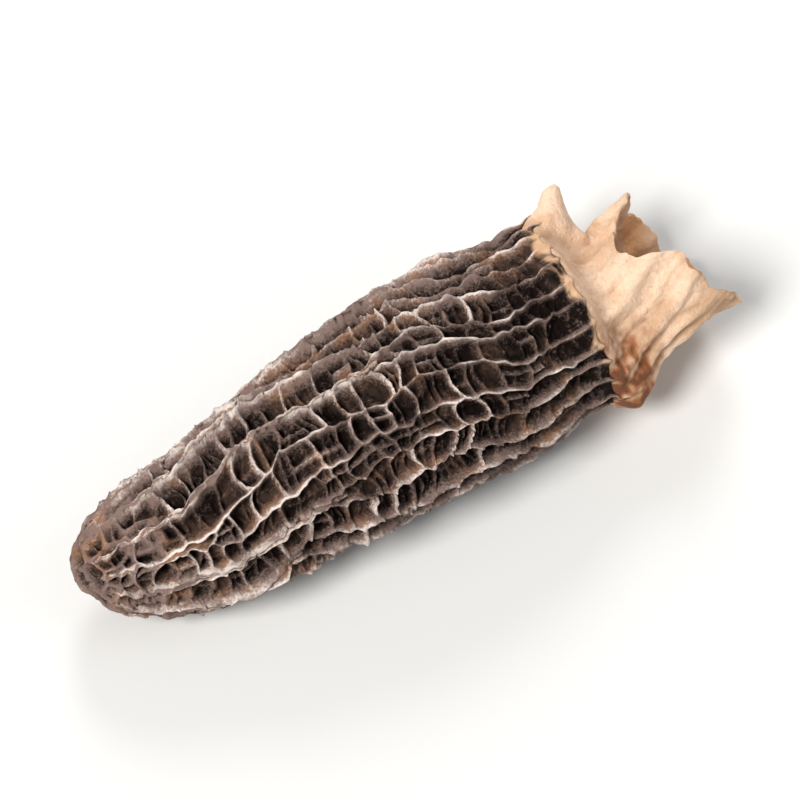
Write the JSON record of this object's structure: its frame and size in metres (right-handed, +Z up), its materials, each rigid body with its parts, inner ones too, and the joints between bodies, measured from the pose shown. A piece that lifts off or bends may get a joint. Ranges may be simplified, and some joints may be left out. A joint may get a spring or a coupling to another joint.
{
  "type": "dried morel mushroom",
  "caption": "Dried black morel lying on its side: a dark hollow cap under a raised net of ribs and rungs, and a short pale hollow stem cut off raggedly.",
  "frame": {"origin": "on the surface that the morel lies on, under the middle of its box", "axes": "+X along the morel, from the tip of the cap towards the cut end of the stem; +Z up from the surface that it lies on; +Y sideways"},
  "size_m": [0.0446, 0.015, 0.0124],
  "materials": {
    "cap": "dry, wrinkled and matt, dark brown in the pits, with lighter greyish beige crests",
    "stem": "dry and matt cream, tan inside, with brown stains in the folds and where it joins the cap"
  },
  "bodies": {
    "root": {"cap": "cap", "stem": "stem"}
  },
  "joints": []
}
